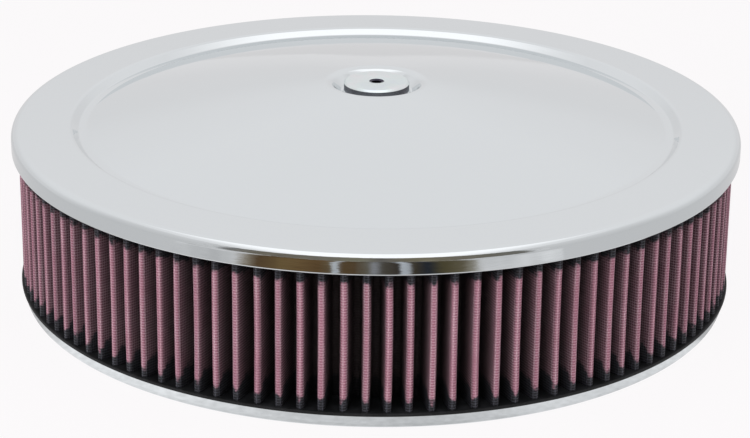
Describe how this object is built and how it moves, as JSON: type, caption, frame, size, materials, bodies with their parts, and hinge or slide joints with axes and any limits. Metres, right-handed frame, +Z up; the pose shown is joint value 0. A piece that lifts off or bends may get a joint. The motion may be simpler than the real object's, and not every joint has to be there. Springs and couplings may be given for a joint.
{
  "type": "carburetor air cleaner",
  "caption": "Round open-element air cleaner for a carburetor: crowned lid held by a knurled nut, pleated gauze element between moulded seals, and a shallow base pan with a neck collar.",
  "frame": {"origin": "middle of the flat ring under the base pan, on which the air cleaner stands", "axes": "+Z up along the axis of symmetry, from the neck collar towards the lid nut; X and Y are across it"},
  "size_m": [0.3556, 0.3556, 0.1042],
  "materials": {
    "chromed_steel": "bright chrome plate on pressed steel",
    "gasket_rubber": "matt black rubber",
    "moulded_polyurethane": "satin black moulded polyurethane",
    "oiled_gauze": "oiled cotton gauze under fine aluminium wire screen",
    "zinc_plated_steel": "zinc plated",
    "plated_nut": "bright plate on a turned and knurled nut"
  },
  "bodies": {
    "base": {"base_plate": "chromed_steel", "neck_gasket": "gasket_rubber", "bottom_seal": "moulded_polyurethane", "pleated_media": "oiled_gauze", "top_seal": "moulded_polyurethane", "lid": "chromed_steel", "stud": "zinc_plated_steel"},
    "washer": {"nut_washer": "gasket_rubber"},
    "nut": {"lid_nut": "plated_nut"}
  },
  "joints": [
    {"name": "nut_rise", "type": "slide", "parent": "base", "child": "washer", "axis": [0, 0, 1], "range_m": [0, 0.00381]},
    {"name": "nut_turn", "type": "hinge", "parent": "washer", "child": "nut", "pos_m": [0, 0, 0.1016], "axis": [0, 0, 1], "range_deg": [0, 1080]}
  ],
  "couplings": [
    {"joint": "nut_rise", "follows": "nut_turn", "m_per_rad": 0.00020212}
  ]
}
